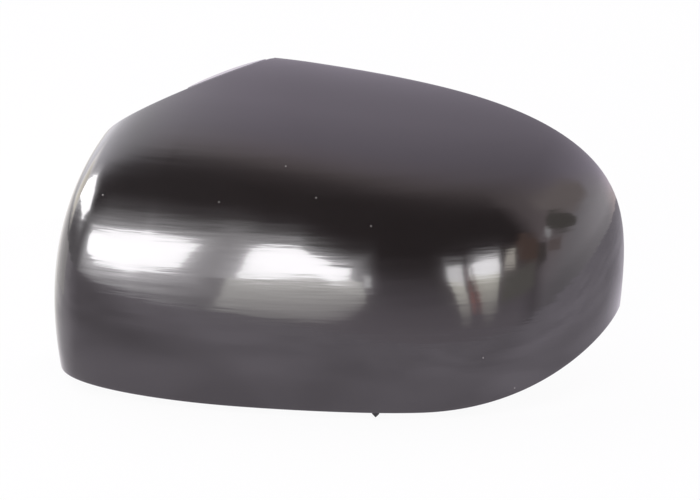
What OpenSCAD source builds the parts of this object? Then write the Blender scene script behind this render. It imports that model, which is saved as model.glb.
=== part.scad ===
// Wing mirror cover: one moulded shell that clips over the front of a car's mirror housing.
// X runs to the outboard end, Y to the rear, where the cover is open, and Z up.
// The skin is a quarter dome. The plane of the rear rim and a slanting plane trim it.

/* [Outline] */
// Reach of the skin from its crown line to the inboard wall
inboard_w = 116; // [100:1:130]
// Reach of the skin from its crown line to the outboard end
outboard_w = 118; // [100:1:130]
// Depth of the front ahead of the rear rim
front_d = 64; // [52:1:74]
// Height of the crown above the bottom edge
crown_h = 122; // [105:1:135]
// Distance of the dome's axis behind the rear rim
axis_back = 12.5; // [9:0.5:18]

/* [Form of the skin] */
// Squareness of the plan at the inboard corner, where 2 is an ellipse
inboard_square = 8; // [5:0.5:10]
// Squareness of the plan at the outboard end
outboard_square = 2.4; // [2.2:0.1:3]
// Squareness of the inboard shoulder, seen from the front
inboard_shoulder = 2.05; // [2:0.05:2.6]
// Squareness of the outboard shoulder, seen from the front
outboard_shoulder = 3.8; // [3:0.1:4.5]
// Share of the depth that the front loses towards its two ends
bow = 0.23; // [0.1:0.01:0.3]
// Share of the height that the skin loses from the crown line to the outboard end
fall = 0.13; // [0:0.01:0.2]
// Sideways lean of the skin towards the inboard end, for each unit of height
lean = 0.15; // [0:0.01:0.2]

/* [Bottom edge] */
// Rise of the bottom edge at the outboard end
outboard_rise = 25; // [10:1:32]
// Distance from the crown line at which that rise begins
outboard_rise_from = 28; // [10:1:50]
// Rise of the bottom edge at the inboard wall
inboard_rise = 3; // [0:0.5:8]
// Distance from the crown line at which that rise begins
inboard_rise_from = 42; // [20:1:60]
// How far the outboard end curls in under itself
end_curl = 10; // [4:1:14]

/* [Slanting edge] */
// Height of the slanting plane above the bottom edge, on the crown line at the rear rim
slant_h = 139.5; // [138:0.5:144]
// Fall of that plane towards the inboard end, for each unit of width
slant_fall = 0.52; // [0.48:0.01:0.56]
// Rise of that plane towards the front, for each unit of depth
slant_rise = 0.44; // [0.4:0.01:0.5]
// Width of the flange that is folded back from the upper end of that edge
flange_w = 6; // [4:0.5:8]
// Thickness of that flange
flange_t = 1.4; // [1:0.1:1.6]
// Fall of the flange towards the rear, for each unit of depth
flange_dip = 0.05; // [0:0.01:0.1]

/* [Wall] */
// Thickness of the moulded wall
wall = 2.5; // [2:0.1:3]
// Thickness of the thin lip round the rear opening, which slips inside the housing's edge
lip_t = 1.5; // [1:0.1:1.8]
// Depth of that lip
lip_d = 3; // [2:0.5:4]

/* [Ribs] */
// Thickness of the stiffening ribs
rib_t = 1.6; // [1.2:0.1:2]
// Height of the ribs above the inner skin
rib_h = 5; // [3:0.5:8]

/* [Locating posts] */
// Radius of a post where it stands between its fins
post_r = 2.5; // [2.25:0.25:2.75]
// Radius of a post's free end, which goes into the housing's socket
pin_r = 2; // [1.5:0.25:2]
// Length of that free end
post_free = 14; // [10:1:18]
// How far the posts reach behind the rear rim
post_reach = 3; // [1:0.5:5]
// Distance of the inboard post from the crown line
inboard_post_x = 52; // [40:1:60]
// Distance of the outboard post from the crown line
outboard_post_x = 40; // [32:1:44]
// Height of both posts above the bottom edge
post_h = 58; // [50:1:66]
// Width of the fins at the foot of a post
fin_w = 20; // [16:1:24]
// Thickness of the fins
fin_t = 1.8; // [1.4:0.1:2.2]

/* [Snap hooks] */
// Width of a hook
hook_w = 10; // [8:1:12]
// Thickness of a hook's blade
hook_t = 1.8; // [1.5:0.1:2]
// Height of the barb above the blade
barb_h = 1.8; // [1.2:0.1:2.4]
// Length of the barb's ramp
barb_l = 5; // [4:0.5:7]
// How far the hooks of the rear rim reach behind it
hook_reach = 7; // [5:0.5:10]
// Length of the hooks on the bottom edge
low_hook_l = 22; // [18:1:28]

/* [Centring tooth] */
// Width of the pointed tooth on the bottom edge
tooth_w = 2.8; // [2:0.1:4]
// How far the tooth reaches below the bottom edge
tooth_drop = 2.2; // [1.5:0.1:3]
// Distance of the tooth from the crown line
tooth_x = 12; // [0:1:20]

/* [Hidden] */

gloss_black = "#1b1b1d";

// Angles round the plan are 0 at the inboard wall, 90 on the crown line and 180 at the outboard end.
// Angles up the skin are 0 at the bottom edge and 90 at the top of the dome.
wall_steps = 14;
slant_steps = 20;
front_steps = 18;
end_steps = 16;
turn_in = 132;
slant_middle = 35;
rows = 24;
lip_rows = 3;
halvings = 24;
tip_gap = 0.1;
// Least share of the skin's height that stays below the lip's foot, at the low corners
least_foot = 0.2;
post_facets = 64;

// Share of the slanting edge at which its flange starts
flange_from = 0.83;
flange_steps = 16;

// Places of the hooks, as [plan angle, height angle below the rim]
top_hooks = [[74, 10], [95, 10], [116, 11]];
// Plan angles of the hooks on the bottom edge, and their height angle
low_hooks = [66, 108];
low_hook_turn = 4;
// Angle to either side of a hook over which it reads the skin's slope
slope_span = 2;
// Places of the hooks on the inboard wall and the outboard end, as [plan angle, height angle]
inboard_hook = [24, 22];
outboard_hook = [157, 28];

// Plan angles of the upright ribs, and the height angles they run between
upright_ribs = [72, 91, 109];
upright_from = 7;
upright_to = 62;
// Height angle of the level rib, and the plan angles it runs between
level_turn = 46;
level_from = 50;
level_to = 136;
rib_steps = 16;
rib_fade = 2;
sunk = 0.4;

function squareness(a) = a < 90 ? inboard_square : outboard_square;
function plan_r(a) = pow(pow(abs(cos(a)), squareness(a)) + pow(sin(a), squareness(a)), -1 / squareness(a));
function across(a) = -cos(a) * plan_r(a);
function ahead(a) = sin(a) * plan_r(a) * (1 - bow * pow(across(a), 2));

// Share of the way along a rise that starts at a given distance and ends at the skin's reach
function share(distance, from, reach) = max(0, (distance - from) / (reach - from));

// Point of the skin at plan angle a and height angle v, drawn in by the depth t
function skin(a, v, t = 0) =
    let (
        up = sin(v),
        reach = (a < 90 ? inboard_w : outboard_w) - t,
        shoulder = a < 90 ? inboard_shoulder : outboard_shoulder,
        x = reach * across(a) * pow(1 - pow(up, shoulder), 1 / shoulder),
        y = axis_back - (front_d + axis_back - t) * ahead(a) * cos(v),
        outer = pow(share(x, outboard_rise_from, outboard_w), 2),
        inner = pow(share(-x, inboard_rise_from, inboard_w), 2),
        z = (crown_h - t) * up * (1 - fall * x / outboard_w)
            + (1 - up) * (outboard_rise * outer + inboard_rise * inner)
    )
    [x - end_curl * outer * pow(1 - up, 2) - lean * z, y, z];

// Height of a point above the slanting plane
function above_slant(p) = p[2] - slant_h - slant_fall * p[0] + slant_rise * p[1];

// Height angle at which the skin comes within a distance of the rear rim
function rim_turn(a, t, inset = 0) =
    acos(min(1, (axis_back + inset) / ((front_d + axis_back - t) * ahead(a))));

// Height angle at which the skin comes within a distance of the slanting plane
function slant_turn(a, t, inset, low, high, n = halvings) =
    n == 0 ? low
    : let (mid = (low + high) / 2)
      above_slant(skin(a, mid, t)) > -inset
          ? slant_turn(a, t, inset, low, mid, n - 1)
          : slant_turn(a, t, inset, mid, high, n - 1);

function is_cut(a, t, inset = 0) = above_slant(skin(a, rim_turn(a, t, inset), t)) > -inset;
function end_turn(a, t, inset = 0) =
    is_cut(a, t, inset) ? slant_turn(a, t, inset, 0, rim_turn(a, t, inset)) : rim_turn(a, t, inset);

// Plan angle at which the bottom edge meets the rear rim
function corner_angle(t, outside, inside, n = halvings) =
    n == 0 ? inside
    : let (mid = (outside + inside) / 2)
      (front_d + axis_back - t) * ahead(mid) < axis_back
          ? corner_angle(t, mid, inside, n - 1)
          : corner_angle(t, outside, mid, n - 1);

// Plan angle at which the slanting plane meets the rear rim, between an uncut angle and a cut one
function slant_end(t, uncut, cut, n = halvings) =
    n == 0 ? cut
    : let (mid = (uncut + cut) / 2)
      is_cut(mid, t) ? slant_end(t, uncut, mid, n - 1) : slant_end(t, mid, cut, n - 1);

// Angles from one value up to, but not including, another, crowded towards the first by the power
function span(from, to, steps, power = 1) =
    [for (i = [0:steps - 1]) from + (to - from) * pow(i / steps, power)];

// Plan angles of the columns of points: inboard wall, slanting edge, then the rear rim to the outboard end.
// They crowd towards both ends, where the rim drops steeply
function stations(t) =
    let (
        low = corner_angle(t, 0, 45) + tip_gap,
        high = corner_angle(t, 180, 135) - tip_gap,
        slant_low = slant_end(t, low, slant_middle),
        apex = slant_end(t, 90, slant_middle)
    )
    concat(
        span(low, slant_low, wall_steps, 2),
        span(slant_low, apex, slant_steps),
        span(apex, turn_in, front_steps),
        [turn_in],
        reversed(span(high, turn_in, end_steps, 2))
    );

outer_stations = stations(0);
inner_stations = stations(wall);
lip_stations = stations(lip_t);

function column(a, t, end) = [for (j = [0:rows]) skin(a, end * j / rows, t)];

// Ring of points round the wall's section at one station: up the outer skin, round the lip, down the inside
function section(i) =
    let (
        a_out = outer_stations[i],
        a_in = inner_stations[i],
        a_lip = lip_stations[i],
        lip_end = end_turn(a_lip, lip_t),
        in_end = max(end_turn(a_in, wall, lip_d), end_turn(a_in, wall) * least_foot),
        lip_start = max(end_turn(a_lip, lip_t, lip_d), lip_end * least_foot)
    )
    concat(
        column(a_out, 0, end_turn(a_out, 0)),
        [for (j = [0:lip_rows]) skin(a_lip, lip_end + (lip_start - lip_end) * j / lip_rows, lip_t)],
        reversed(column(a_in, wall, in_end))
    );

function reversed(list) = [for (i = [len(list) - 1:-1:0]) list[i]];
function unit(v) = v / norm(v);

// Closed solid through rings of points, all with the same number of points, with flat or folded end caps.
// Each four-sided patch is folded along its shorter diagonal
module ringed_solid(rings) {
    n = len(rings[0]);
    last = (len(rings) - 1) * n;
    points = [for (ring = rings) each ring];
    sides = [
        for (i = [0:len(rings) - 2], j = [0:n - 1])
            let (
                a = i * n + j,
                b = i * n + (j + 1) % n,
                c = b + n,
                d = a + n
            )
            each norm(points[a] - points[c]) < norm(points[b] - points[d])
                ? [[a, b, c], [a, c, d]]
                : [[a, b, d], [b, c, d]]
    ];
    caps = [
        for (j = [0:n / 2 - 2])
            let (k = n - 1 - j)
            each [
                [j, k - 1, j + 1],
                [j, k, k - 1],
                [last + j, last + j + 1, last + k - 1],
                [last + j, last + k - 1, last + k]
            ]
    ];
    polyhedron(points, concat(sides, caps));
}

module shell() {
    ringed_solid([for (i = [0:len(outer_stations) - 1]) section(i)]);
}

// Point of the outer skin at a share of the slanting edge, from the inboard wall up to the apex
function slant_edge(s) =
    let (
        first = outer_stations[wall_steps],
        last = outer_stations[wall_steps + slant_steps],
        a = first + (last - first) * s
    )
    skin(a, end_turn(a, 0));

// Flange folded back from the upper end of the slanting edge, with its top face flush with the skin's edge
module return_flange() {
    back = unit([0, 1, -flange_dip]);
    step = (1 - flange_from) / flange_steps;
    ringed_solid([
        for (i = [0:flange_steps])
            let (
                edge = slant_edge(flange_from + step * i),
                along = edge - slant_edge(flange_from + step * (i - 1)),
                under = unit(cross(back, along)) * flange_t,
                root = edge + back * sunk,
                tip = root + back * (sunk + flange_w * sqrt(sin(180 * i / flange_steps)))
            )
            [root + under, root, tip, tip + under]
    ]);
}

// Share of its full height that a rib has at a step, as it fades into the wall at both ends
function fade(i) = min(1, i / rib_fade, (rib_steps - i) / rib_fade);
function rib_depth(i) = wall - sunk + (rib_h + sunk) * fade(i);

module upright_rib(a) {
    half = [rib_t / 2, 0, 0];
    ringed_solid([
        for (i = [0:rib_steps])
            let (
                v = upright_from + (upright_to - upright_from) * i / rib_steps,
                foot = skin(a, v, wall / 2),
                crest = skin(a, v, rib_depth(i))
            )
            [foot + half, foot - half, crest - half, crest + half]
    ]);
}

module level_rib() {
    half = [0, 0, rib_t / 2];
    ringed_solid([
        for (i = [0:rib_steps])
            let (
                a = level_from + (level_to - level_from) * i / rib_steps,
                foot = skin(a, level_turn, wall / 2),
                crest = skin(a, level_turn, rib_depth(i))
            )
            [foot - half, foot + half, crest + half, crest - half]
    ]);
}

// Plan angle at which the skin at height angle v stands at the width x
function angle_at(x, v, t, low = 1, high = 179, n = halvings) =
    n == 0 ? low
    : let (mid = (low + high) / 2)
      skin(mid, v, t)[0] > x ? angle_at(x, v, t, low, mid, n - 1) : angle_at(x, v, t, mid, high, n - 1);

// Point of the skin, drawn in by t, that lies straight ahead of a point of the rear plane
function ahead_of(x, z, t, low = 0, high = 80, n = halvings) =
    let (mid = (low + high) / 2, p = skin(angle_at(x, mid, t), mid, t))
    n == 0 ? p : p[2] > z ? ahead_of(x, z, t, low, mid, n - 1) : ahead_of(x, z, t, mid, high, n - 1);
function depth_at(x, z) = ahead_of(x, z, wall / 2)[1];

// Fin of a post: its foot follows the wall and its sides taper to the post.
// across is [1, 0] for a level fin and [0, 1] for an upright one
module fin(x, z, across) {
    places = [-fin_w / 2, -fin_w / 4, 0, fin_w / 4, fin_w / 2];
    foot = [for (s = places) [s, depth_at(x + s * across[0], z + s * across[1])]];
    top = post_reach - post_free;
    turn = across[0] == 1 ? [0, 0, 0] : [0, -90, 0];
    translate([x, 0, z])
        rotate(turn)
            linear_extrude(fin_t, center = true)
                polygon(concat(foot, [[pin_r, top], [-pin_r, top]]));
}

// Post in steps: a foot between the fins, a thinner free end and its chamfer
module locating_post(x) {
    foot = depth_at(x, post_h);
    shoulder = post_reach - post_free;
    chamfer = pin_r / 4;
    translate([x, 0, post_h])
        rotate([-90, 0, 0]) {
            translate([0, 0, foot])
                cylinder(r = post_r, h = shoulder - foot, $fn = post_facets);
            translate([0, 0, shoulder - sunk])
                cylinder(r = pin_r, h = post_free - chamfer + sunk, $fn = post_facets);
            translate([0, 0, post_reach - chamfer])
                cylinder(r1 = pin_r, r2 = pin_r - chamfer, h = chamfer, $fn = post_facets);
        }
    fin(x, post_h, [1, 0]);
    fin(x, post_h, [0, 1]);
}

// Hook with its blade along Y and its barb facing local Z, turned round Y to face outwards
module snap_hook(root, length, facing) {
    translate(root)
        rotate([0, facing, 0])
            rotate([90, 0, 90])
                linear_extrude(hook_w, center = true)
                    polygon([
                        [0, -hook_t / 2],
                        [length - hook_t / 2, -hook_t / 2],
                        [length, 0],
                        [length, hook_t / 2],
                        [length - barb_l, hook_t / 2 + barb_h],
                        [length - barb_l, hook_t / 2],
                        [0, hook_t / 2]
                    ]);
}

// Angle round Y that lays a hook's width along the skin between two of its points
function facing(p, q) = -atan2(q[2] - p[2], q[0] - p[0]);

// Hook on a level stretch of the skin, at plan angle a and height angle v
module edge_hook(a, v, length, over) {
    root = skin(a, v, wall / 2);
    turn = facing(skin(a - slope_span, v, wall / 2), skin(a + slope_span, v, wall / 2));
    snap_hook(root, length < 0 ? hook_reach - root[1] : length, turn + over);
}

// Hook on an upright stretch of the skin; side is 1 at the outboard end and -1 at the inboard wall
module side_hook(place, side) {
    depth = (wall + hook_t) / 2;
    root = skin(place[0], place[1], depth);
    low = skin(place[0], place[1] - slope_span, depth);
    high = skin(place[0], place[1] + slope_span, depth);
    turn = side < 0 ? facing(low, high) : facing(high, low);
    snap_hook(root, hook_reach - root[1], turn);
}

module hooks() {
    for (place = top_hooks)
        edge_hook(place[0], rim_turn(place[0], wall) - place[1], -1, 0);
    for (a = low_hooks)
        edge_hook(a, low_hook_turn, low_hook_l, 180);
    side_hook(inboard_hook, -1);
    side_hook(outboard_hook, 1);
}

// Pointed tooth that stands down from the bottom edge
module centring_tooth() {
    foot = skin(angle_at(tooth_x, 0, wall / 2), 0, wall / 2);
    shoulder = tooth_drop / 3;
    translate([foot[0], foot[1] + wall / 2 + hook_t, 0])
        rotate([90, 0, 0])
            linear_extrude(wall / 2 + hook_t)
                polygon([
                    [-tooth_w / 2, tooth_w * 2],
                    [-tooth_w / 2, -shoulder],
                    [0, -tooth_drop],
                    [tooth_w / 2, -shoulder],
                    [tooth_w / 2, tooth_w * 2]
                ]);
}

// The whole moulding, placed so that the origin lies on the inboard post's axis in the plane of the rear rim
module mirror_cover() {
    color(gloss_black)
        translate([inboard_post_x, 0, -post_h]) {
            shell();
            return_flange();
            for (a = upright_ribs)
                upright_rib(a);
            level_rib();
            locating_post(-inboard_post_x);
            locating_post(outboard_post_x);
            hooks();
            centring_tooth();
        }
}

mirror_cover();
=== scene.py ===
import functools
import math

import bpy
import numpy as np
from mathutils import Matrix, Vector


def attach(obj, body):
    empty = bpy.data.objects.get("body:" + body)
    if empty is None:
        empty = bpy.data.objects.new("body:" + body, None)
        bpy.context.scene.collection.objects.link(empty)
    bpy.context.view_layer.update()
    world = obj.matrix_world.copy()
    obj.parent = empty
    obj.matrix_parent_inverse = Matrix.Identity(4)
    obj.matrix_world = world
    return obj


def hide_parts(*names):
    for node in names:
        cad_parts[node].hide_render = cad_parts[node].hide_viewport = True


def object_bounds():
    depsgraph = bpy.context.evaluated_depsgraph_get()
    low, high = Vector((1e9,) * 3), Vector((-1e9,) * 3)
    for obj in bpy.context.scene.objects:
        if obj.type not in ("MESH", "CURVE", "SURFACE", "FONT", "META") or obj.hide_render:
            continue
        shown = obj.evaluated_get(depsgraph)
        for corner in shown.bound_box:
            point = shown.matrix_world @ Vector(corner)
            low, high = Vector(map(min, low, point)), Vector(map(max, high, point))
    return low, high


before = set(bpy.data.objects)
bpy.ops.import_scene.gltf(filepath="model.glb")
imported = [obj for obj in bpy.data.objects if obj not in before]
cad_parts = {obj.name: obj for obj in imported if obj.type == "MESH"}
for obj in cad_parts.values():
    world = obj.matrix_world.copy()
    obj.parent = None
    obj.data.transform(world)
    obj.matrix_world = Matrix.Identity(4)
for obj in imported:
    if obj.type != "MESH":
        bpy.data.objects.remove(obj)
CAD_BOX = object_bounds()

# Sizes of the moulding in millimetres, as the part's source gives them
INBOARD_W, OUTBOARD_W, FRONT_D, CROWN_H, AXIS_BACK = 116.0, 118.0, 64.0, 122.0, 12.5
INBOARD_SQUARE, OUTBOARD_SQUARE, INBOARD_SHOULDER, OUTBOARD_SHOULDER = 8.0, 2.4, 2.05, 3.8
BOW, FALL, LEAN = 0.23, 0.13, 0.15
OUTBOARD_RISE, OUTBOARD_RISE_FROM, INBOARD_RISE, INBOARD_RISE_FROM, END_CURL = 25.0, 28.0, 3.0, 42.0, 10.0
SLANT_H, SLANT_FALL, SLANT_RISE = 139.5, 0.52, 0.44
FLANGE_W, FLANGE_T, FLANGE_DIP, FLANGE_FROM, FLANGE_TO = 6.0, 1.4, 0.05, 0.83, 0.995
WALL, LIP_T, LIP_D = 2.5, 1.5, 3.0
RIB_T, RIB_H, SUNK = 1.6, 5.0, 0.4
POST_R, PIN_R, POST_FREE, POST_REACH = 2.5, 2.0, 14.0, 3.0
INBOARD_POST_X, OUTBOARD_POST_X, POST_H, FIN_W, FIN_T = 52.0, 40.0, 58.0, 20.0, 1.8
HOOK_W, HOOK_T, BARB_H, BARB_L, HOOK_REACH, LOW_HOOK_L = 10.0, 1.8, 1.8, 5.0, 7.0, 22.0
TOOTH_W, TOOTH_DROP, TOOTH_X = 2.8, 2.2, 12.0
TIP_GAP, SLANT_MIDDLE, TURN_IN = 0.1, 35.0, 132.0

# Places on the skin, in degrees: plan angle, then height angle or, for the top hooks, the angle below the rim
TOP_HOOKS, LOW_HOOKS = [(74, 10), (95, 10), (116, 11)], [(66, 4), (108, 4)]
INBOARD_HOOK, OUTBOARD_HOOK = (24, 22), (157, 28)
UPRIGHT_RIBS, UPRIGHT_FROM, UPRIGHT_TO = (72, 91, 109), 7, 62
LEVEL_TURN, LEVEL_FROM, LEVEL_TO = 46, 50, 136

# What the render adds in fineness: rounding of the moulded edges in millimetres, columns and rows of the wall
EDGE_R = 0.3
WALL_STEPS, SLANT_STEPS, FRONT_STEPS, END_STEPS = 22, 44, 56, 40
OUTER_ROWS, LIP_ROWS, INNER_ROWS = 83, 6, 60
HALVINGS = 24

MM = 0.001
ORIGIN = np.array([INBOARD_POST_X, 0.0, -POST_H])


# ---- Form of the skin: a is the angle round the plan, v the angle up the skin, t the depth below it

def plan_r(a):
    """Reach of the plan's outline as a share, squarer at the inboard corner than at the outboard end."""
    n = np.where(a < 90, INBOARD_SQUARE, OUTBOARD_SQUARE)
    return (np.abs(np.cos(np.radians(a))) ** n + np.abs(np.sin(np.radians(a))) ** n) ** (-1 / n)


def across(a):
    """Place across the plan, from -1 at the inboard wall to 1 at the outboard end."""
    return -np.cos(np.radians(a)) * plan_r(a)


def ahead(a):
    """Depth of the plan as a share, bowed towards both ends."""
    return np.sin(np.radians(a)) * plan_r(a) * (1 - BOW * across(a) ** 2)


def share(distance, start, reach):
    """How far a distance is on its way from a start to a reach."""
    return np.clip((distance - start) / (reach - start), 0, None)


def skin(a, v, t=0.0):
    """Point of the skin."""
    a, v, t = np.broadcast_arrays(np.asarray(a, float), np.asarray(v, float), np.asarray(t, float))
    up = np.sin(np.radians(v))
    reach = np.where(a < 90, INBOARD_W, OUTBOARD_W) - t
    shoulder = np.where(a < 90, INBOARD_SHOULDER, OUTBOARD_SHOULDER)
    x = reach * across(a) * np.clip(1 - up ** shoulder, 0, None) ** (1 / shoulder)
    y = AXIS_BACK - (FRONT_D + AXIS_BACK - t) * ahead(a) * np.cos(np.radians(v))
    outer = share(x, OUTBOARD_RISE_FROM, OUTBOARD_W) ** 2
    inner = share(-x, INBOARD_RISE_FROM, INBOARD_W) ** 2
    z = (CROWN_H - t) * up * (1 - FALL * x / OUTBOARD_W) + (1 - up) * (OUTBOARD_RISE * outer + INBOARD_RISE * inner)
    return np.stack([x - END_CURL * outer * (1 - up) ** 2 - LEAN * z, y, z], -1)


def above_slant(p):
    """Height of a point above the slanting plane."""
    return p[..., 2] - SLANT_H - SLANT_FALL * p[..., 0] + SLANT_RISE * p[..., 1]


def rim_turn(a, t, inset=0.0):
    """Height angle at which the skin meets the rear rim."""
    return np.degrees(np.arccos(np.minimum(1, (AXIS_BACK + inset) / ((FRONT_D + AXIS_BACK - t) * ahead(a)))))


def end_turn(a, t, inset=0.0):
    """Height angle at which the skin ends, at the rear rim or at the slanting plane, less an inset."""
    rim = rim_turn(a, t, inset)
    low, high = np.zeros_like(rim), rim.copy()
    for _ in range(HALVINGS):
        mid = (low + high) / 2
        over = above_slant(skin(a, mid, t)) > -inset
        low, high = np.where(over, low, mid), np.where(over, mid, high)
    return np.where(above_slant(skin(a, rim, t)) > -inset, low, rim)


def bisect(test, low, high):
    """The value between low and high from which test holds."""
    for _ in range(HALVINGS):
        mid = (low + high) / 2
        low, high = (low, mid) if test(mid) else (mid, high)
    return high


def is_cut(a, t):
    """Whether the slanting plane cuts the skin at a plan angle."""
    angle = np.array([float(a)])
    return bool(above_slant(skin(angle, rim_turn(angle, t), t))[0] > 0)


@functools.lru_cache(maxsize=None)
def stations(t):
    """Plan angles of the columns of points, crowded towards both ends, where the rim drops steeply."""
    depth = FRONT_D + AXIS_BACK - t
    low = bisect(lambda a: depth * ahead(np.float64(a)) > AXIS_BACK, 0.5, 45) + TIP_GAP
    high = 180 - bisect(lambda a: depth * ahead(np.float64(180 - a)) > AXIS_BACK, 0.5, 45) - TIP_GAP
    slant_low = bisect(lambda a: is_cut(a, t), low, SLANT_MIDDLE)
    apex = 90 - bisect(lambda a: is_cut(90 - a, t), 0, 90 - SLANT_MIDDLE)
    return np.concatenate([
        low + (slant_low - low) * (np.arange(WALL_STEPS) / WALL_STEPS) ** 2,
        slant_low + (apex - slant_low) * np.arange(SLANT_STEPS) / SLANT_STEPS,
        apex + (TURN_IN - apex) * np.arange(FRONT_STEPS) / FRONT_STEPS,
        high - (high - TURN_IN) * (np.arange(END_STEPS, -1, -1) / END_STEPS) ** 2,
    ])


# ---- Meshes

def add_piece(name, points, faces, materials, chooser=None):
    """A piece of the moulding from points in the skin's own millimetres."""
    mesh = bpy.data.meshes.new(name)
    mesh.from_pydata(((np.asarray(points) + ORIGIN) * MM).tolist(), [], [tuple(int(i) for i in f) for f in faces])
    mesh.validate()
    for material in materials:
        mesh.materials.append(material)
    if chooser is not None:
        mesh.polygons.foreach_set("material_index", [int(chooser[i]) for i in range(len(mesh.polygons))])
    mesh.shade_smooth()
    mesh.set_sharp_from_angle(angle=math.radians(35))
    piece = bpy.data.objects.new(name, mesh)
    bpy.context.scene.collection.objects.link(piece)
    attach(piece, "root")
    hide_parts("mirror_cover")
    return piece


def soften(piece, width=EDGE_R * 0.8):
    """Rounds the edges of a piece."""
    bevel = piece.modifiers.new("edges", "BEVEL")
    bevel.width = width * MM
    bevel.segments = 2
    bevel.limit_method = "ANGLE"
    bevel.angle_limit = math.radians(40)


def ringed(rings):
    """Points and faces of a closed solid through rings that all have the same number of points."""
    count, n = len(rings), len(rings[0])
    faces = []
    for i in range(count - 1):
        for j in range(n):
            k = (j + 1) % n
            faces.append((i * n + j, i * n + k, (i + 1) * n + k, (i + 1) * n + j))
    faces.append(tuple(range(n - 1, -1, -1)))
    faces.append(tuple((count - 1) * n + j for j in range(n)))
    return np.concatenate([np.asarray(r, float) for r in rings]), faces


def extruded(outline, place, thickness):
    """Prism of a flat outline; place turns [along, over, side] into a point."""
    near = [place(p[0], p[1], -thickness / 2) for p in outline]
    far = [place(p[0], p[1], thickness / 2) for p in outline]
    return ringed([far, near])


def merged(solids):
    """Points and faces of several solids in one."""
    points, faces, start = [], [], 0
    for p, f in solids:
        points.append(np.asarray(p, float))
        faces += [tuple(i + start for i in face) for face in f]
        start += len(p)
    return np.concatenate(points), faces


def shell_rows():
    """Rows of the wall's section, from the outer foot over the rim to the inner foot, each with its kind, its depth,
    its share of the height or inset from the edge, and whether it belongs to the outer skin."""
    arc = np.radians([0, 30, 60, 90])
    rows = []
    for q in arc[::-1]:
        rows.append(("foot", EDGE_R * (1 - math.cos(q)), EDGE_R * (1 - math.sin(q)), 1))
    for s in np.linspace(0, 1, OUTER_ROWS + 1)[1:-1]:
        rows.append(("wall", 0.0, s, 1))
    for q in arc:
        rows.append(("end", EDGE_R * (1 - math.cos(q)), EDGE_R * (1 - math.sin(q)), 1))
    for q in arc[::-1]:
        rows.append(("end", LIP_T - EDGE_R / 2 * (1 - math.cos(q)), EDGE_R / 2 * (1 - math.sin(q)), 0))
    for s in np.linspace(0, 1, LIP_ROWS + 1)[1:]:
        rows.append(("lip", LIP_T, s, 0))
    for s in np.linspace(1, 0, INNER_ROWS):
        rows.append(("inner", WALL, s, 0))
    return rows


def shell():
    """The wall: outer skin, rounded rim, thin lip and inner skin, in one closed mesh, with each face's material."""
    rows, outer = [], []
    for kind, t, amount, is_outer in shell_rows():
        a = stations(t)
        if kind == "foot":
            v = np.degrees(amount / CROWN_H) * np.ones_like(a)
        elif kind == "wall":
            low, high = math.degrees(EDGE_R / CROWN_H), end_turn(a, t, EDGE_R)
            v = low + (high - low) * amount
        elif kind == "end":
            v = end_turn(a, t, amount)
        elif kind == "lip":
            top = end_turn(a, t, EDGE_R / 2)
            foot = np.maximum(end_turn(a, t, LIP_D), end_turn(a, t) / 5)
            v = top + (foot - top) * amount
        else:
            v = np.maximum(end_turn(a, t, LIP_D), end_turn(a, t) / 5) * amount
        rows.append(skin(a, np.maximum(v, 0), t))
        outer.append(is_outer)
    sections = np.stack(rows, 1)
    points, faces = ringed(list(sections))
    n = len(rows)
    ring = [0 if outer[j] and outer[(j + 1) % n] else 1 for j in range(n)]
    return points, faces, ring * (len(sections) - 1) + [1, 1]


def return_flange(steps=48):
    """Flange folded back from the upper end of the slanting edge, its top flush with the skin's edge."""
    first, last = stations(0.0)[WALL_STEPS], stations(0.0)[WALL_STEPS + SLANT_STEPS]
    shares = FLANGE_FROM + (FLANGE_TO - FLANGE_FROM) * np.arange(-1, steps + 1) / steps
    a = first + (last - first) * shares
    edge = skin(a, end_turn(a, 0.0))
    back = np.array([0, 1, -FLANGE_DIP]) / math.hypot(1, FLANGE_DIP)
    rings = []
    for i in range(steps + 1):
        under = np.cross(back, edge[i + 1] - edge[i])
        under = under / np.linalg.norm(under) * FLANGE_T
        root = edge[i + 1] + back * SUNK
        tip = root + back * (SUNK + FLANGE_W * math.sqrt(abs(math.sin(math.pi * i / steps))))
        rings.append([root + under, root, tip, tip + under])
    return ringed(rings)


def rib(line, half, steps=64):
    """Rib along a line of the skin, which gives the plan angle and height angle at each share of its length."""
    rings = []
    for i in range(steps + 1):
        s = i / steps
        a, v = line(s)
        fade = min(1, s * 8, (1 - s) * 8)
        foot, crest = skin(a, v, WALL / 2), skin(a, v, WALL - SUNK + (RIB_H + SUNK) * fade)
        rings.append([foot + half, foot - half, crest - half, crest + half])
    return ringed(rings)


def ribs():
    """Three upright ribs and a level one."""
    upright, level = UPRIGHT_TO - UPRIGHT_FROM, LEVEL_TO - LEVEL_FROM
    solids = [rib(lambda s, a=a: (a, UPRIGHT_FROM + upright * s), np.array([RIB_T / 2, 0, 0])) for a in UPRIGHT_RIBS]
    solids.append(rib(lambda s: (LEVEL_FROM + level * s, LEVEL_TURN), np.array([0, 0, -RIB_T / 2])))
    return merged(solids)


def angle_at(x, v, t):
    """Plan angle at which the skin lies at x."""
    return bisect(lambda a: skin(a, v, t)[0] > x, 1, 179)


def depth_at(x, z, t=WALL / 2):
    """Depth of the skin straight ahead of a point of the rear plane."""
    v = bisect(lambda v: skin(angle_at(x, v, t), v, t)[2] > z, 0, 80)
    return float(skin(angle_at(x, v, t), v, t)[1])


def lathe(profile, x, z, segments=48):
    """Turned form round an axis along Y, from pairs of radius and depth."""
    rings = []
    for r, y in profile:
        turn = np.arange(segments) * 2 * math.pi / segments
        rings.append(np.stack([x + r * np.cos(turn), np.full(segments, y), z - r * np.sin(turn)], -1))
    return ringed(rings)


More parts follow.
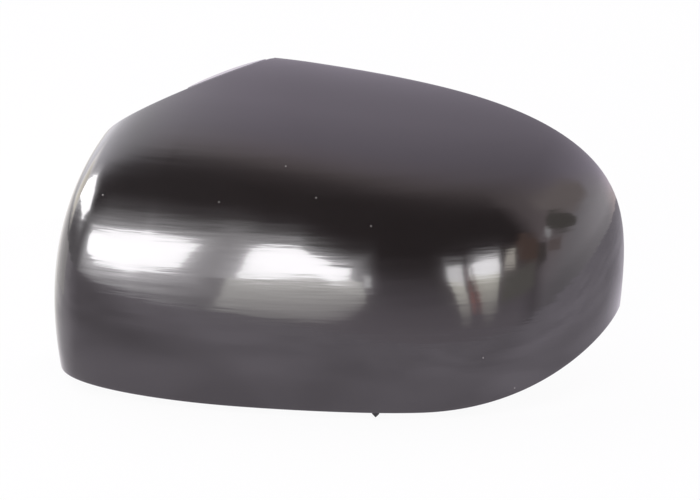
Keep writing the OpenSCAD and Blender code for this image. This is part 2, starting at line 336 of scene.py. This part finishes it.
def post(x):
    """Locating post: a foot between two crossed fins, and the thinner pin that the housing's socket takes."""
    foot = depth_at(x, POST_H)
    shoulder, chamfer = POST_REACH - POST_FREE, PIN_R / 4
    profile = [
        (POST_R, foot), (POST_R, shoulder - 0.2), (POST_R - 0.2, shoulder), (PIN_R + 0.15, shoulder),
        (PIN_R, shoulder + 0.15), (PIN_R, POST_REACH - chamfer), (PIN_R - chamfer, POST_REACH),
    ]
    solids = [lathe(profile, x, POST_H)]
    places = np.linspace(-FIN_W / 2, FIN_W / 2, 9)
    for level in (True, False):
        outline = [(s, depth_at(x + s, POST_H) if level else depth_at(x, POST_H + s)) for s in places]
        outline += [(PIN_R, shoulder), (-PIN_R, shoulder)]
        if level:
            solids.append(extruded(outline, lambda s, y, w: (x + s, y, POST_H - w), FIN_T))
        else:
            solids.append(extruded(outline, lambda s, y, w: (x + w, y, POST_H + s), FIN_T))
    return merged(solids)


def snap_hook(root, length, facing):
    """Hook with its blade along Y and its barb facing outwards; facing is the turn round Y in degrees."""
    profile = [
        (0, -HOOK_T / 2), (length - HOOK_T / 2, -HOOK_T / 2), (length, 0), (length, HOOK_T / 2),
        (length - BARB_L, HOOK_T / 2 + BARB_H), (length - BARB_L, HOOK_T / 2), (0, HOOK_T / 2),
    ]
    c, s = math.cos(math.radians(facing)), math.sin(math.radians(facing))
    return extruded(profile, lambda y, z, x: (root[0] + x * c + z * s, root[1] + y, root[2] - x * s + z * c), HOOK_W)


def facing(p, q):
    """Turn round Y of the line from one point to another."""
    return -math.degrees(math.atan2(q[2] - p[2], q[0] - p[0]))


def edge_hook(a, v, length, over):
    """Hook at a plan angle, as long as given or as far as the hooks reach; over turns it upside down."""
    root = skin(a, v, WALL / 2)
    turn = facing(skin(a - 2, v, WALL / 2), skin(a + 2, v, WALL / 2))
    return snap_hook(root, HOOK_REACH - root[1] if length is None else length, turn + over)


def side_hook(a, v, side):
    """Hook on the inboard wall, at side -1, or on the outboard end, at side 1."""
    depth = (WALL + HOOK_T) / 2
    root, low, high = (skin(a, v + d, depth) for d in (0, -2, 2))
    return snap_hook(root, HOOK_REACH - root[1], facing(low, high) if side < 0 else facing(high, low))


def hooks():
    """The seven snap hooks."""
    solids = [edge_hook(a, float(rim_turn(np.float64(a), WALL)) - below, None, 0) for a, below in TOP_HOOKS]
    solids += [edge_hook(a, v, LOW_HOOK_L, 180) for a, v in LOW_HOOKS]
    solids += [side_hook(*INBOARD_HOOK, -1), side_hook(*OUTBOARD_HOOK, 1)]
    return merged(solids)


def centring_tooth():
    """Pointed tooth that stands down from the bottom edge."""
    foot = skin(angle_at(TOOTH_X, 0, WALL / 2), 0, WALL / 2)
    thick = WALL / 2 + HOOK_T
    outline = [
        (-TOOTH_W / 2, TOOTH_W * 2), (-TOOTH_W / 2, -TOOTH_DROP / 3), (0, -TOOTH_DROP),
        (TOOTH_W / 2, -TOOTH_DROP / 3), (TOOTH_W / 2, TOOTH_W * 2),
    ]
    return extruded(outline, lambda x, z, w: (foot[0] + x, foot[1] + thick / 2 - w, z), thick)


# ---- Materials

def new_material(name):
    """A new material, its node tree and its shader."""
    material = bpy.data.materials.new(name)
    material.use_nodes = True
    tree = material.node_tree
    return material, tree, tree.nodes["Principled BSDF"]


def noise(tree, scale, detail, stretch=(1, 1, 1), roughness=0.5):
    """Cloud of noise in the piece's own space."""
    place = tree.nodes.new("ShaderNodeTexCoord")
    turn = tree.nodes.new("ShaderNodeMapping")
    turn.inputs["Scale"].default_value = stretch
    cloud = tree.nodes.new("ShaderNodeTexNoise")
    cloud.inputs["Scale"].default_value = scale
    cloud.inputs["Detail"].default_value = detail
    cloud.inputs["Roughness"].default_value = roughness
    tree.links.new(place.outputs["Object"], turn.inputs["Vector"])
    tree.links.new(turn.outputs["Vector"], cloud.inputs["Vector"])
    return cloud.outputs["Fac"]


def ramp(tree, source, stops):
    """Levels or colours at the given stops of a source."""
    colours = tree.nodes.new("ShaderNodeValToRGB")
    elements = colours.color_ramp.elements
    while len(elements) < len(stops):
        elements.new(0.5)
    for element, (at, colour) in zip(elements, stops):
        element.position = at
        element.color = (*colour, 1) if hasattr(colour, "__len__") else (colour, colour, colour, 1)
    tree.links.new(source, colours.inputs["Fac"])
    return colours.outputs["Color"]


def bump(tree, shader, source, strength, distance, socket="Normal"):
    """Relief of the surface, or of its coat."""
    relief = tree.nodes.new("ShaderNodeBump")
    relief.inputs["Strength"].default_value = strength
    relief.inputs["Distance"].default_value = distance
    tree.links.new(source, relief.inputs["Height"])
    tree.links.new(relief.outputs["Normal"], shader.inputs[socket])


def maths(tree, operation, a, b=0.0):
    """One sum on numbers or sockets."""
    node = tree.nodes.new("ShaderNodeMath")
    node.operation = operation
    for socket, value in zip(node.inputs, (a, b)):
        if isinstance(value, (int, float)):
            socket.default_value = value
        else:
            tree.links.new(value, socket)
    return node.outputs[0]


def blended(tree, amount, plain, other):
    """Colour that turns from the plain one to the other one by the amount."""
    mix = tree.nodes.new("ShaderNodeMix")
    mix.data_type = "RGBA"
    tree.links.new(amount, mix.inputs["Factor"])
    tree.links.new(plain, mix.inputs["A"])
    mix.inputs["B"].default_value = (*other, 1)
    return mix.outputs["Result"]


def dust(tree, places, radius):
    """1 on specks of dust at the given points of the skin, in millimetres, and 0 elsewhere."""
    here = tree.nodes.new("ShaderNodeTexCoord").outputs["Object"]
    mask = 0.0
    for place in places:
        apart = tree.nodes.new("ShaderNodeVectorMath")
        apart.operation = "DISTANCE"
        tree.links.new(here, apart.inputs[0])
        apart.inputs[1].default_value = (np.array(place) + ORIGIN) * MM
        mask = maths(tree, "MAXIMUM", maths(tree, "LESS_THAN", apart.outputs["Value"], radius * MM), mask)
    return mask


GLOSS_IOR = 1.6
SPECK_R = 0.25
# Specks of dust, as points of the skin in millimetres
SPECKS = [
    (64.1, -50.1, 7.0), (-24.3, -39.9, 89.6), (-49.1, -46.2, 76.6), (-95.3, -37.4, 75.5),
    (-12.2, -45.7, 79.2), (52.1, -53.9, 20.2), (8.9, -48.9, 69.7),
]


def gloss_black():
    """Polished black skin under a clear coat, with faint level drag marks and a few specks of dust."""
    material, tree, shader = new_material("gloss_black")
    specks = dust(tree, SPECKS, SPECK_R)
    black = ramp(tree, noise(tree, 14, 3), [(0.3, (0.0116, 0.0096, 0.0095)), (0.7, (0.0138, 0.0115, 0.0113))])
    tree.links.new(blended(tree, specks, black, (0.34, 0.33, 0.32)), shader.inputs["Base Color"])
    tree.links.new(ramp(tree, noise(tree, 60, 4, (1, 1, 3)), [(0.3, 0.09), (0.75, 0.14)]), shader.inputs["Roughness"])
    shader.inputs["IOR"].default_value = GLOSS_IOR
    shader.inputs["Specular Tint"].default_value = (0.99, 0.95, 1.0, 1)
    tree.links.new(maths(tree, "SUBTRACT", 1.0, specks), shader.inputs["Coat Weight"])
    shader.inputs["Coat Roughness"].default_value = 0.06
    shader.inputs["Coat IOR"].default_value = GLOSS_IOR
    drag = noise(tree, 90, 3, (0.2, 0.2, 3.0))
    bump(tree, shader, drag, 0.14, 0.0004)
    bump(tree, shader, drag, 0.10, 0.0004, "Coat Normal")
    return material


def satin_black():
    """Moulded inner face: the same black plastic, left with a fine grain."""
    material, tree, shader = new_material("satin_black")
    black = ramp(tree, noise(tree, 35, 4), [(0.3, (0.016, 0.015, 0.017)), (0.7, (0.022, 0.021, 0.023))])
    tree.links.new(black, shader.inputs["Base Color"])
    tree.links.new(ramp(tree, noise(tree, 220, 3), [(0.3, 0.34), (0.7, 0.46)]), shader.inputs["Roughness"])
    shader.inputs["IOR"].default_value = 1.5
    bump(tree, shader, noise(tree, 1400, 2), 0.12, 0.0002)
    return material


# ---- Build

GLOSS, SATIN = gloss_black(), satin_black()
points, faces, chooser = shell()
add_piece("cover_skin", points, faces, [GLOSS, SATIN], chooser)
soften(add_piece("return_flange", *return_flange(), [GLOSS]))
soften(add_piece("stiffening_ribs", *ribs(), [SATIN]))
soften(add_piece("inboard_post", *post(-INBOARD_POST_X), [SATIN]), 0.15)
soften(add_piece("outboard_post", *post(OUTBOARD_POST_X), [SATIN]), 0.15)
soften(add_piece("snap_hooks", *hooks(), [SATIN]))
soften(add_piece("centring_tooth", *centring_tooth(), [SATIN]), 0.15)


# ---- Stage

CENTRE = Vector((0.045, -0.03, 0.0))
FLOOR_Z = CAD_BOX[0][2] - 0.0003
FLOOR_REACH = 3.4
SHEET_AWAY, CURTAIN_AWAY, BOARD_AWAY, CARD_AWAY = 2.4, 2.35, 2.3, 0.27
LEVEL = 0.76  # of the sheets and the room, at which a colour renders about as it is written
PAPER_LEVEL = 1.08  # of the floor as gloss sees it, next to the camera's white
PAPER_GLOW = 0.92  # share of the floor that glows for the camera and for gloss; the rest takes the shadow

def paper_in_gloss(tree):
    """How bright gloss sees the floor round the cover: dimmer to the left of the front, with painted patches of
    brighter and dimmer glow as a painted reflection of the room's uneven light.
    """
    place = tree.nodes.new("ShaderNodeTexCoord")
    from_cover = tree.nodes.new("ShaderNodeMapping")
    from_cover.inputs["Location"].default_value = (-CENTRE.x, -CENTRE.y, 0)
    tree.links.new(place.outputs["Object"], from_cover.inputs["Vector"])
    parts = tree.nodes.new("ShaderNodeSeparateXYZ")
    tree.links.new(from_cover.outputs["Vector"], parts.inputs[0])
    turn = maths(tree, "ARCTAN2", parts.outputs["X"], maths(tree, "MULTIPLY", parts.outputs["Y"], -1))
    turn = maths(tree, "ADD", maths(tree, "DIVIDE", turn, 2 * math.pi), 0.5)
    level = ramp(tree, turn, [
        (0.0, 1.0), (0.22, 1.0), (0.26, 0.80), (0.28, 0.54), (0.30, 0.40), (0.335, 0.38), (0.36, 0.46),
        (0.39, 0.66), (0.42, 0.78), (0.45, 0.77), (0.49, 0.67), (0.53, 0.68), (0.56, 0.73), (0.64, 0.69),
        (0.67, 0.84), (0.70, 0.90), (0.74, 0.84), (0.80, 0.62), (0.88, 0.66), (0.96, 1.0),
    ])
    length = tree.nodes.new("ShaderNodeVectorMath")
    length.operation = "LENGTH"
    tree.links.new(from_cover.outputs["Vector"], length.inputs[0])
    near = ramp(tree, length.outputs["Value"], [(0.13, 1.0), (0.34, 0.0)])
    level = maths(tree, "MAXIMUM", level, maths(tree, "MULTIPLY", near, 0.7))
    # Painted reflection: patches of brighter and dimmer glow in the floor, seen only in gloss.
    cloud = noise(tree, 15, 2, (1, 0.55, 1), 0.4)
    painted_glow_patches = ramp(tree, cloud, [(0.36, 0.84), (0.48, 0.96), (0.56, 1.04), (0.68, 1.14)])
    level = maths(tree, "MULTIPLY", level, painted_glow_patches)
    tint = ramp(tree, turn, [(0.18, (0.93, 0.915, 0.89)), (0.29, (0.955, 0.895, 1.0))])
    product = tree.nodes.new("ShaderNodeVectorMath")
    product.operation = "MULTIPLY"
    tree.links.new(maths(tree, "MULTIPLY", level, PAPER_LEVEL), product.inputs[0])
    tree.links.new(tint, product.inputs[1])
    return product.outputs["Vector"]


def floor_paper():
    """Pale paper that the camera sees as white and gloss as nearly white, and that keeps a faint shadow."""
    material, tree, shader = new_material("floor_paper")
    shader.inputs["Base Color"].default_value = (0.82, 0.82, 0.82, 1)
    shader.inputs["Roughness"].default_value = 0.9
    shader.inputs["Specular IOR Level"].default_value = 0.0
    path = tree.nodes.new("ShaderNodeLightPath").outputs
    seen = maths(tree, "MAXIMUM", path["Is Camera Ray"], path["Is Glossy Ray"])
    seen = maths(tree, "MAXIMUM", seen, path["Is Transmission Ray"])
    glow = tree.nodes.new("ShaderNodeEmission")
    glow.inputs["Strength"].default_value = 1.0
    tree.links.new(blended(tree, path["Is Camera Ray"], paper_in_gloss(tree), (1, 1, 1)), glow.inputs["Color"])
    mix = tree.nodes.new("ShaderNodeMixShader")
    tree.links.new(maths(tree, "MULTIPLY", seen, PAPER_GLOW), mix.inputs[0])
    tree.links.new(shader.outputs[0], mix.inputs[1])
    tree.links.new(glow.outputs[0], mix.inputs[2])
    tree.links.new(mix.outputs[0], tree.nodes["Material Output"].inputs["Surface"])
    return material


def stage_mesh(name, points, faces, material):
    """A thing round the cover that isn't part of it."""
    mesh = bpy.data.meshes.new(name)
    mesh.from_pydata(points, [], faces)
    mesh.materials.append(material)
    mesh.shade_smooth()
    piece = bpy.data.objects.new(name, mesh)
    bpy.context.scene.collection.objects.link(piece)
    return piece


def floor():
    r = FLOOR_REACH
    corners = [(-r, -r, FLOOR_Z), (r, -r, FLOOR_Z), (r, r, FLOOR_Z), (-r, r, FLOOR_Z)]
    stage_mesh("floor", corners, [(0, 1, 2, 3)], floor_paper())


def toward(azimuth, elevation):
    """Direction seen from the cover: azimuth from the front towards +X, in degrees."""
    az, el = math.radians(azimuth), math.radians(elevation)
    return Vector((math.sin(az) * math.cos(el), -math.cos(az) * math.cos(el), math.sin(el)))


def sheet_material(name, colour):
    """Light of a sheet, from the glow and the clearness that its points carry."""
    material = bpy.data.materials.new(name)
    material.use_nodes = True
    tree = material.node_tree
    tree.nodes.clear()
    values = []
    for value in ("glow", "clear"):
        node = tree.nodes.new("ShaderNodeAttribute")
        node.attribute_name = value
        values.append(node)
    light = tree.nodes.new("ShaderNodeEmission")
    light.inputs["Color"].default_value = (*colour, 1)
    tree.links.new(values[0].outputs["Fac"], light.inputs["Strength"])
    through = tree.nodes.new("ShaderNodeBsdfTransparent")
    tree.links.new(values[1].outputs["Color"], through.inputs["Color"])
    both = tree.nodes.new("ShaderNodeAddShader")
    tree.links.new(light.outputs[0], both.inputs[0])
    tree.links.new(through.outputs[0], both.inputs[1])
    out = tree.nodes.new("ShaderNodeOutputMaterial")
    tree.links.new(both.outputs[0], out.inputs["Surface"])
    return material


def sheet(name, lines, colour, seen_from, away=SHEET_AWAY, ring=False):
    """Sheet through lines of [azimuth, elevation] seen from a point, each line with its glow and clearness."""
    n = len(lines[0][0])
    points, faces, glow, clear = [], [], [], []
    for line, shine, through in lines:
        points += [Vector(seen_from) + toward(*p) * away for p in line]
        glow += [shine * LEVEL] * n
        clear += [through] * n
    for k in range(0, (len(lines) - 1) * n, n):
        for i in range(n if ring else n - 1):
            j = (i + 1) % n
            faces.append((k + i, k + j, k + n + j, k + n + i))
    piece = stage_mesh(name, points, faces, sheet_material(name, colour))
    for value, amounts in (("glow", glow), ("clear", clear)):
        piece.data.attributes.new(value, "FLOAT", "POINT").data.foreach_set("value", amounts)
    piece.visible_camera = False
    piece.visible_shadow = False


def grown(corners, side, up, down):
    """Outline grown to its sides, above and below, by angles in degrees."""
    az, el = zip(*corners)
    mid_az, mid_el = (min(az) + max(az)) / 2, (min(el) + max(el)) / 2
    half_az, half_el = max(az) - mid_az, max(el) - mid_el
    over = [max(-1, min(1, 2 * (e - mid_el) / half_el)) for e in el]
    return [(a + side * (a - mid_az) / half_az, e + (up if o > 0 else down) * o) for (a, e), o in zip(corners, over)]


def window(name, lower, upper, glow, halo, seen_from, colour=(1, 1, 1)):
    """Bright opening between two lines, with the soft light round it as (side, up, down, glow) steps outwards."""
    sheet(name, [(lower, glow, 0.0), (upper, glow, 0.0)], colour, seen_from)
    corners = lower + upper[::-1]
    sheet(name + "_halo", [(grown(corners, *step[:3]), step[3], 1.0) for step in halo], colour, seen_from, ring=True)


def board(name, lower, upper, glow, colour, seen_from, feather):
    """Dim board with soft edges."""
    sheet(name, [(lower, glow, 0.0), (upper, glow, 0.0)], colour, seen_from, BOARD_AWAY)
    corners = lower + upper[::-1]
    edges = [(corners, glow, 0.0), (grown(corners, feather, feather, feather), 0.0, 1.0)]
    sheet(name + "_edge", edges, colour, seen_from, BOARD_AWAY, ring=True)


# Places of the skin from which the sheets' angles are taken
LEFT_FRONT, MIDDLE_FRONT, RIGHT_FRONT = (-0.035, -0.045, 0.01), (0.025, -0.055, 0.012), (0.105, -0.05, 0.01)
LEFT_END, RIGHT_END = (-0.06, -0.025, 0.035), (0.125, -0.035, 0.02)


def left_windows():
    """The large window on the left, the window round the inboard corner and what lies behind it."""
    window(
        "window_left", [(-63.5, 6.3), (-60, 4.6), (-54, 3.6), (-44, 4), (-37, 4), (-31, 5.7), (-25, 8)],
        [(-63.5, 9.5), (-61, 12), (-50, 13.7), (-46, 14.4), (-40, 15.2), (-33, 16.2), (-20.8, 17)],
        13, [(0, 0, 0, 3.8), (1.5, 1.8, 2.5, 2.8), (4.5, 4.2, 5, 1.3), (8, 8, 9, 0.32), (11, 13, 13, 0)], LEFT_FRONT,
    )
    window(
        "window_side", [(-108, 10), (-94, 12), (-80, 11), (-72, 16)], [(-104, 17), (-95, 22), (-87, 25), (-76, 21)],
        12, [(0, 0, 0, 2.0), (2, 2, 2, 1.2), (5, 4, 5, 0.3), (8, 6, 8, 0)], LEFT_END,
    )
    window(
        "window_far", [(-124, 3), (-110, 3)], [(-122, 15), (-108, 16)],
        3.2, [(0, 0, 0, 1.5), (8, 6, 4, 0)], LEFT_END, (1, 0.95, 0.84),
    )
    turns = range(-165, -90, 12)
    card = [([(a, -12) for a in turns], 1.5, 0.0), ([(a, -0.5) for a in turns], 1.5, 0.0)]
    sheet("card_left", card, (1, 0.97, 0.96), CENTRE, CARD_AWAY)


def middle_window():
    """The window in the middle with its pale sill, and the slit beside it."""
    window(
        "window_middle", [(-17.2, 8.6), (-13, 9.9), (-8, 12.2), (-5, 13.3), (-2, 12.8), (1.5, 14.8)],
        [(-14.3, 18.6), (-12.5, 20), (-6.5, 21.9), (-4.8, 19.6), (-1, 18.2), (2.6, 18.6)],
        13, [(0, 0, 0, 2.8), (2, 1.8, 0.5, 2.1), (4.5, 3.4, 1, 0.8), (7, 7, 2, 0.12), (9, 11, 3, 0)], MIDDLE_FRONT,
    )
    sheet("sill", [
        ([(-18.5, 8.2), (-12, 10.2), (-6, 13), (-2, 12.7), (1.5, 14.6), (4.5, 14)], 4.4, 0.6),
        ([(-19.5, 5), (-12, 7), (-6, 9), (-2, 10), (2.5, 11), (5, 11)], 3.2, 0.7),
        ([(-21, 0.5), (-12, 2), (-6, 3.5), (-2, 5.5), (2, 7.5), (4.5, 9)], 1.8, 0.9),
        ([(-23, -1.2), (-12, -1), (-6, 0), (-1, 2.5), (2, 5), (4, 7.5)], 0.3, 1.0),
    ], (0.99, 1, 0.93), MIDDLE_FRONT)
    window(
        "window_slit", [(4.8, 12.8), (6.6, 13.2)], [(5.3, 15.8), (7, 16.4)],
        5, [(0, 0, 0, 1.2), (0.8, 3, 1.5, 0)], MIDDLE_FRONT,
    )


def right_windows():
    """Three small windows on the right, the light that falls below two of them, and a red curtain between these."""
    window(
        "window_right_a", [(26.5, 16.5), (31, 15)], [(26.5, 20.5), (31, 20.5)],
        6.5, [(0, 0, 0, 2.5), (1, 3, 1, 0)], RIGHT_FRONT,
    )
    sheet("fall_right_a", [
        ([(26.5, 16.5), (31, 15)], 5.0, 0.8), ([(28, 12), (32, 11)], 3.4, 0.8),
        ([(29, 8), (32.6, 7.5)], 1.6, 0.9), ([(30, 3), (33, 3)], 0.0, 1.0),
    ], (1, 1, 0.88), RIGHT_FRONT)
    window(
        "window_right_b", [(33, 17.5), (36, 16.5), (39, 16), (43, 16)],
        [(33.5, 20), (36, 21.5), (39, 21.5), (43, 21)],
        9, [(0, 0, 0, 3.0), (0.6, 1.5, 1, 1.2), (1.2, 4, 2, 0)], RIGHT_FRONT,
    )
    sheet("fall_right_b", [
        ([(33, 17.5), (38, 16), (43, 16)], 5.0, 0.8), ([(34.5, 13), (39, 12), (42.5, 12)], 3.2, 0.8),
        ([(36, 9), (39.5, 8.5), (42, 8.5)], 1.9, 0.9), ([(37, 3), (40, 2), (42, 4)], 0.0, 1.0),
    ], (1, 1, 0.86), RIGHT_FRONT)
    for name, lean, strength in (("curtain_a", 0.0, 1.0), ("curtain_b", 1.9, 0.6)):
        sheet(name, [
            ([(31.4 + lean, 20), (32.3 + lean, 20)], 0.1 * strength, 0.5),
            ([(32.2 + lean, 14), (33.4 + lean, 14)], 0.8 * strength, 0.5),
            ([(33 + lean, 9), (34.4 + lean, 9)], 1.7 * strength, 0.5),
            ([(33.6 + lean, 5), (34.8 + lean, 5)], 0.0, 1.0),
        ], (1, 0.34, 0.28), RIGHT_FRONT, CURTAIN_AWAY)
    window(
        "window_right_c", [(44.8, 16.5), (48.5, 15.5)], [(46, 21), (49, 21.5)],
        3.6, [(0, 0, 0, 1.0), (1, 1.5, 2.5, 0)], RIGHT_FRONT, (1, 0.95, 0.84),
    )


def boards():
    """Dim things in the room that break the pale light up."""
    for name, lower, upper, glow, colour, feather in (
        ("brown", [(50.5, 17), (53, 15), (57, 14)], [(50, 22), (52, 25), (57, 21.5)], 0.5, (1, 0.66, 0.52), 1.5),
        ("dark", [(57, 12), (60.5, 12)], [(57.5, 20), (60.5, 18)], 0.32, (1, 0.9, 0.84), 0.8),
        ("olive", [(63, 24), (66, 20.5), (70, 18.5), (76, 17)], [(63.5, 26.5), (67, 29), (73, 25), (78, 19)],
         0.42, (1, 0.97, 0.86), 1.5),
        ("rust", [(62, 15), (67, 13)], [(63, 18), (68, 16.5)], 0.8, (1, 0.82, 0.78), 1.5),
        ("low", [(43, 7), (49, 6.5), (55, 7)], [(44.5, 14), (50, 13.5), (55, 13)], 0.7, (1, 0.98, 0.88), 1.5),
        ("tan", [(64, 31), (79, 25), (90, 27)], [(64, 34), (80, 36), (90, 31)], 1.1, (1, 0.88, 0.85), 5),
    ):
        board("board_" + name, lower, upper, glow, colour, RIGHT_END, feather)
    window(
        "window_chink", [(61, 21.5), (62.5, 19)], [(62, 24.5), (63.8, 21)],
        2.4, [(0, 0, 0, 0.6), (0.8, 0.8, 0.8, 0)], RIGHT_END,
    )


def overhead(tree, across_x, y, height):
    """Soft light from above and behind, stronger on the left."""
    ceiling = ramp(tree, height, [
        (0.16, 0.025), (0.22, 0.04), (0.30, 0.10), (0.35, 0.20), (0.40, 0.34), (0.45, 0.48),
        (0.50, 0.58), (0.58, 0.69), (0.74, 0.83), (0.95, 1.0),
    ])
    leftward = ramp(tree, across_x, [
        (0.0, 1.2), (0.06, 1.0), (0.10, 0.84), (0.175, 0.70), (0.275, 0.59), (0.35, 0.49),
        (0.415, 0.41), (0.50, 0.345), (0.75, 0.28),
    ])
    rearward = ramp(tree, y, [(0.72, 1.0), (0.95, 0.62)])
    level = maths(tree, "MULTIPLY", maths(tree, "MULTIPLY", ceiling, leftward), rearward)
    return maths(tree, "MULTIPLY", level, 4.0)


def right_wall(tree, x, y, z):
    """Pale wall on the right, brighter to the rear and low down."""
    level = ramp(tree, maths(tree, "ADD", y, 0.6), [
        (0.04, 0.0), (0.06, 0.12), (0.12, 0.42), (0.26, 0.60), (0.43, 0.76), (0.60, 0.93), (0.80, 1.0),
    ])
    level = maths(tree, "MULTIPLY", level, ramp(tree, z, [
        (0.0, 0.68), (0.06, 0.76), (0.13, 0.98), (0.26, 1.0), (0.34, 0.90),
        (0.5, 0.76), (0.64, 0.64), (0.77, 0.54), (1.0, 0.4),
    ]))
    level = maths(tree, "MULTIPLY", level, maths(tree, "GREATER_THAN", x, 0))
    return maths(tree, "MULTIPLY", level, 1.95)


def front_haze(tree, across_x, y, z):
    """Low glow in front."""
    level = ramp(tree, z, [(0.0, 0.85), (0.09, 0.72), (0.17, 0.55), (0.26, 0.34), (0.34, 0.10), (0.42, 0.0)])
    level = maths(tree, "MULTIPLY", level, ramp(tree, maths(tree, "MULTIPLY", y, -1), [(0.0, 0.5), (0.6, 1.0)]))
    return maths(tree, "MULTIPLY", level, ramp(tree, across_x, [(0.88, 1.0), (0.97, 0.1)]))


def room_colour(tree, across_x, height):
    """A trace of violet high up and of warmth below it, and nearly plain at both sides."""
    warmth = ramp(tree, maths(tree, "ADD", maths(tree, "MULTIPLY", height, 0.5), 0.3), [
        (0.15, (0.52, 0.475, 0.53)), (0.3, (0.56, 0.475, 0.49)), (0.5, (0.55, 0.48, 0.485)),
        (0.56, (0.535, 0.475, 0.53)), (0.63, (0.52, 0.477, 0.56)),
    ])
    plain = ramp(tree, across_x, [(0.2, 1.0), (0.45, 0.0), (0.90, 0.0), (0.97, 0.8)])
    return blended(tree, plain, warmth, (0.5, 0.493, 0.518))


def room():
    """World light round the cover; the camera sees white."""
    world = bpy.data.worlds.new("room")
    bpy.context.scene.world = world
    world.use_nodes = True
    tree = world.node_tree
    tree.nodes.clear()
    parts = tree.nodes.new("ShaderNodeSeparateXYZ")
    tree.links.new(tree.nodes.new("ShaderNodeTexCoord").outputs["Generated"], parts.inputs[0])
    x, y, z = parts.outputs
    height = maths(tree, "ADD", z, maths(tree, "MULTIPLY", y, 0.58))
    across_x = maths(tree, "ADD", maths(tree, "MULTIPLY", x, 0.5), 0.5)
    level = maths(tree, "MAXIMUM", overhead(tree, across_x, y, height), right_wall(tree, x, y, z))
    level = maths(tree, "ADD", level, front_haze(tree, across_x, y, z))

    light = tree.nodes.new("ShaderNodeBackground")
    tree.links.new(room_colour(tree, across_x, height), light.inputs["Color"])
    tree.links.new(maths(tree, "MULTIPLY", level, 2 * LEVEL), light.inputs["Strength"])
    white = tree.nodes.new("ShaderNodeBackground")
    white.inputs["Strength"].default_value = 1.0
    mix = tree.nodes.new("ShaderNodeMixShader")
    tree.links.new(tree.nodes.new("ShaderNodeLightPath").outputs["Is Camera Ray"], mix.inputs[0])
    tree.links.new(light.outputs[0], mix.inputs[1])
    tree.links.new(white.outputs[0], mix.inputs[2])
    out = tree.nodes.new("ShaderNodeOutputWorld")
    tree.links.new(mix.outputs[0], out.inputs["Surface"])


# Where the photo was taken from: direction, distance and aim, and the focal length in pixels of its width
EYE_TURN, EYE_RISE, EYE_AWAY = 5.471, 17.8, 1.060
AIM = Vector((0.05115, -0.030, -0.00416))
SENSOR, FOCAL_PX, WIDTH_PX = 36, 2754.17, 700


def camera():
    """The photo's view."""
    back = toward(EYE_TURN, EYE_RISE)
    data = bpy.data.cameras.new("camera")
    data.sensor_width = SENSOR
    data.lens = SENSOR * FOCAL_PX / WIDTH_PX
    data.clip_end = 20
    eye = bpy.data.objects.new("camera", data)
    bpy.context.scene.collection.objects.link(eye)
    eye.location = AIM + back * EYE_AWAY
    eye.rotation_euler = back.to_track_quat("Z", "Y").to_euler()
    bpy.context.scene.camera = eye


floor()
room()
left_windows()
middle_window()
right_windows()
boards()
camera()

bpy.context.scene.view_settings.view_transform = "Standard"
